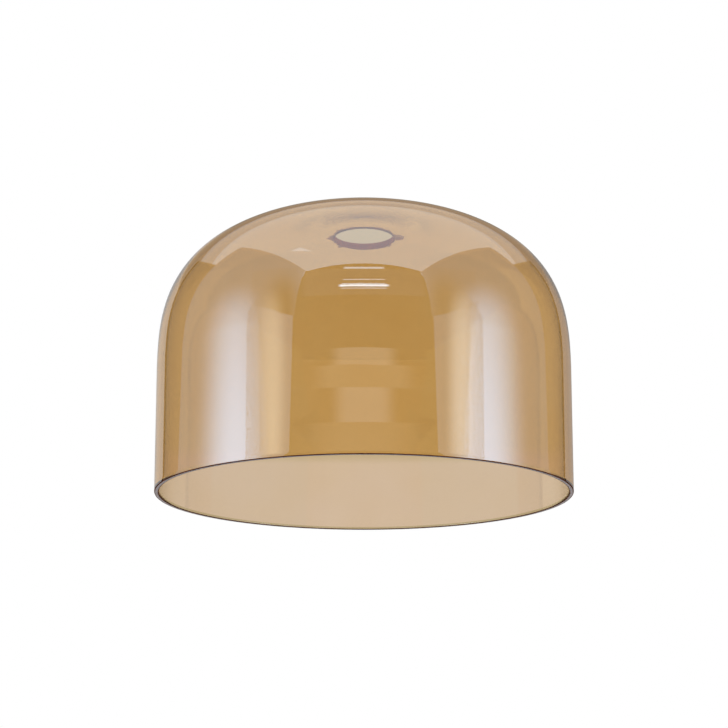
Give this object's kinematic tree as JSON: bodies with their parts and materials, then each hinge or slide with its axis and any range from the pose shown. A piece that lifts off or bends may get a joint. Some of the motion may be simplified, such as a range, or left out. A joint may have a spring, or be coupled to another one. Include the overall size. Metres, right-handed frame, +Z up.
{
  "type": "pendant lampshade",
  "caption": "Domed bell lampshade in thin amber-lustred clear glass, open below, with a small round fitter hole in its crown and a polished flat rim.",
  "frame": {"origin": "on the shade's own axis, in the plane of the rim it stands or hangs by", "axes": "+Z up along the shade's axis, from the open rim to the fitter hole in the crown; +X and +Y are free, because the shade is a body of revolution"},
  "size_m": [0.28, 0.28, 0.19],
  "materials": {
    "amber_glass": "fire-polished clear soda-lime glass with a thin amber lustre coat"
  },
  "bodies": {
    "root": {"glass_shade": "amber_glass"}
  },
  "joints": []
}
